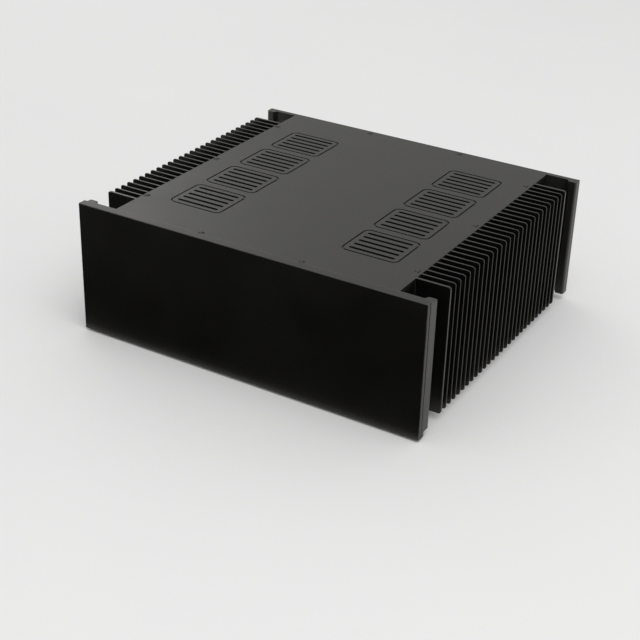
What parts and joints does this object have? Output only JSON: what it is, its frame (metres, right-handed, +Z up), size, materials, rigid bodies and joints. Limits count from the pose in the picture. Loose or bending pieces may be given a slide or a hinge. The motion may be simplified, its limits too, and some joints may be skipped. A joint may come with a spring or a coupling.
{
  "type": "amplifier chassis",
  "caption": "Black anodised amplifier case with a finned heatsink along each side, a thick plain front panel, a slotted top cover and a mains inlet cut-out in the rear plate.",
  "frame": {"origin": "on the ground, at the middle of the case's width and depth", "axes": "+X to the right seen from the front, +Y from the front panel to the rear plate, +Z up"},
  "size_m": [0.43, 0.39, 0.1575],
  "materials": {
    "panel_anodised": "satin black anodised, finely blasted",
    "column_anodised": "black anodised, brushed lengthways",
    "sheet_anodised": "satin black anodised sheet",
    "heatsink_anodised": "black anodised extrusion",
    "plain_aluminium": "mill finish",
    "screw_steel": "black oxide",
    "nut_steel": "zinc plated",
    "foot_rubber": "matte moulded"
  },
  "bodies": {
    "root": {"front_panel": "panel_anodised", "front_left_column": "column_anodised", "front_right_column": "column_anodised", "rear_left_column": "column_anodised", "rear_right_column": "column_anodised", "front_inner_plate": "sheet_anodised", "rear_plate": "sheet_anodised", "left_heatsink": "heatsink_anodised", "right_heatsink": "heatsink_anodised", "top_cover": "sheet_anodised", "bottom_plate": "sheet_anodised", "front_bottom_rail": "plain_aluminium", "front_top_rail": "plain_aluminium", "rear_bottom_rail": "plain_aluminium", "rear_top_rail": "plain_aluminium", "front_left_angle": "plain_aluminium", "front_right_angle": "plain_aluminium", "rear_left_angle": "plain_aluminium", "rear_right_angle": "plain_aluminium", "front_left_foot": "foot_rubber", "front_right_foot": "foot_rubber", "rear_left_foot": "foot_rubber", "rear_right_foot": "foot_rubber", "cover_screws": "screw_steel", "bottom_screws": "screw_steel", "front_plate_screws": "screw_steel", "rear_plate_screws": "screw_steel", "angle_screws": "screw_steel", "front_panel_screws": "screw_steel", "foot_screws": "screw_steel", "foot_nuts": "nut_steel"}
  },
  "joints": []
}
